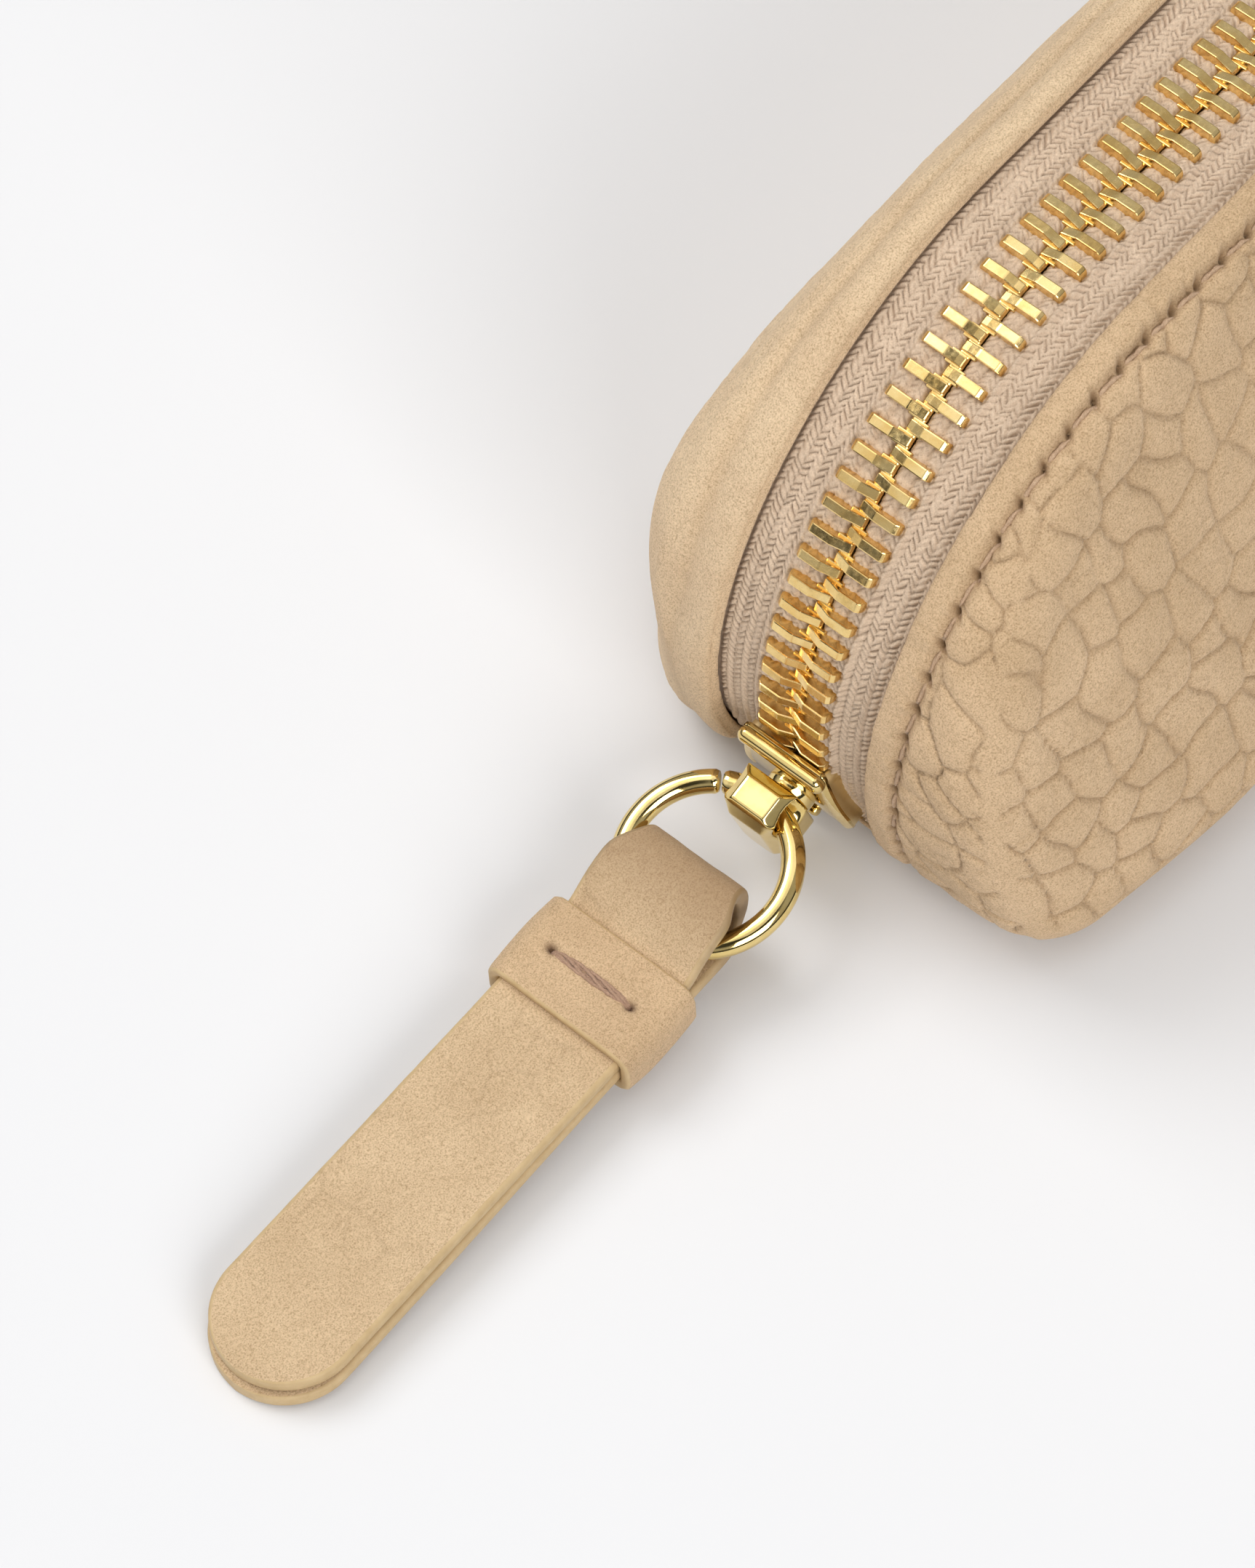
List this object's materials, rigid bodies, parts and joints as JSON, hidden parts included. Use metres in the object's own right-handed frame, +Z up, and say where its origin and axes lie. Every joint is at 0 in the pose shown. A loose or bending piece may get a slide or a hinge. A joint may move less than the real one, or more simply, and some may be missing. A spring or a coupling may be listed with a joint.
{
  "type": "zippered pouch",
  "caption": "Box-shaped leather pouch with a metal zipper over its top and ends and a leather pull tab on a split ring.",
  "frame": {"origin": "middle of the flat base, on the surface that the pouch stands on", "axes": "+X along the length, with the closed slider and the pull tab at the -X end; the stitched front panel faces -Y; +Z up"},
  "size_m": [0.2406, 0.0476, 0.045],
  "materials": {
    "leather": "nubuck",
    "lining": "woven",
    "zipper_tape": "woven",
    "thread": "twisted",
    "zipper_teeth": "brushed and polished",
    "polished_brass": "polished"
  },
  "bodies": {
    "pouch": {"front_panel": "leather", "back_panel": "leather", "front_lining": "lining", "back_lining": "lining", "front_tape": "zipper_tape", "back_tape": "zipper_tape", "front_bead": "zipper_tape", "back_bead": "zipper_tape", "front_teeth": "zipper_teeth", "back_teeth": "zipper_teeth", "top_stops": "zipper_teeth", "bottom_stop": "zipper_teeth", "rim_stitches": "thread"},
    "slider": {"slider_body": "polished_brass"},
    "swivel": {"swivel_pin": "polished_brass", "swivel_block": "polished_brass"},
    "ring": {"split_ring": "polished_brass"},
    "tab": {"pull_strap": "leather", "pull_keeper": "leather", "keeper_thread": "thread"}
  },
  "joints": [
    {"name": "slider_travel", "type": "hinge", "parent": "pouch", "child": "slider", "pos_m": [-0.0618, 0, 0.0158], "axis": [0, 1, 0], "range_deg": [0, 95], "deforming": ["front_teeth", "back_teeth"]},
    {"name": "swivel_spin", "type": "hinge", "parent": "slider", "child": "swivel", "pos_m": [-0.09016, 0, 0.00603], "axis": [-0.9455, 0, -0.3256], "continuous": true},
    {"name": "ring_swing", "type": "hinge", "parent": "swivel", "child": "ring", "pos_m": [-0.09281, 0.0005, 0.00819], "axis": [0, 1, 0], "range_deg": [-40, 74]},
    {"name": "tab_swing", "type": "hinge", "parent": "ring", "child": "tab", "pos_m": [-0.10477, 0.0005, 0.0049], "axis": [0, -1, 0], "range_deg": [-2, 15]}
  ]
}
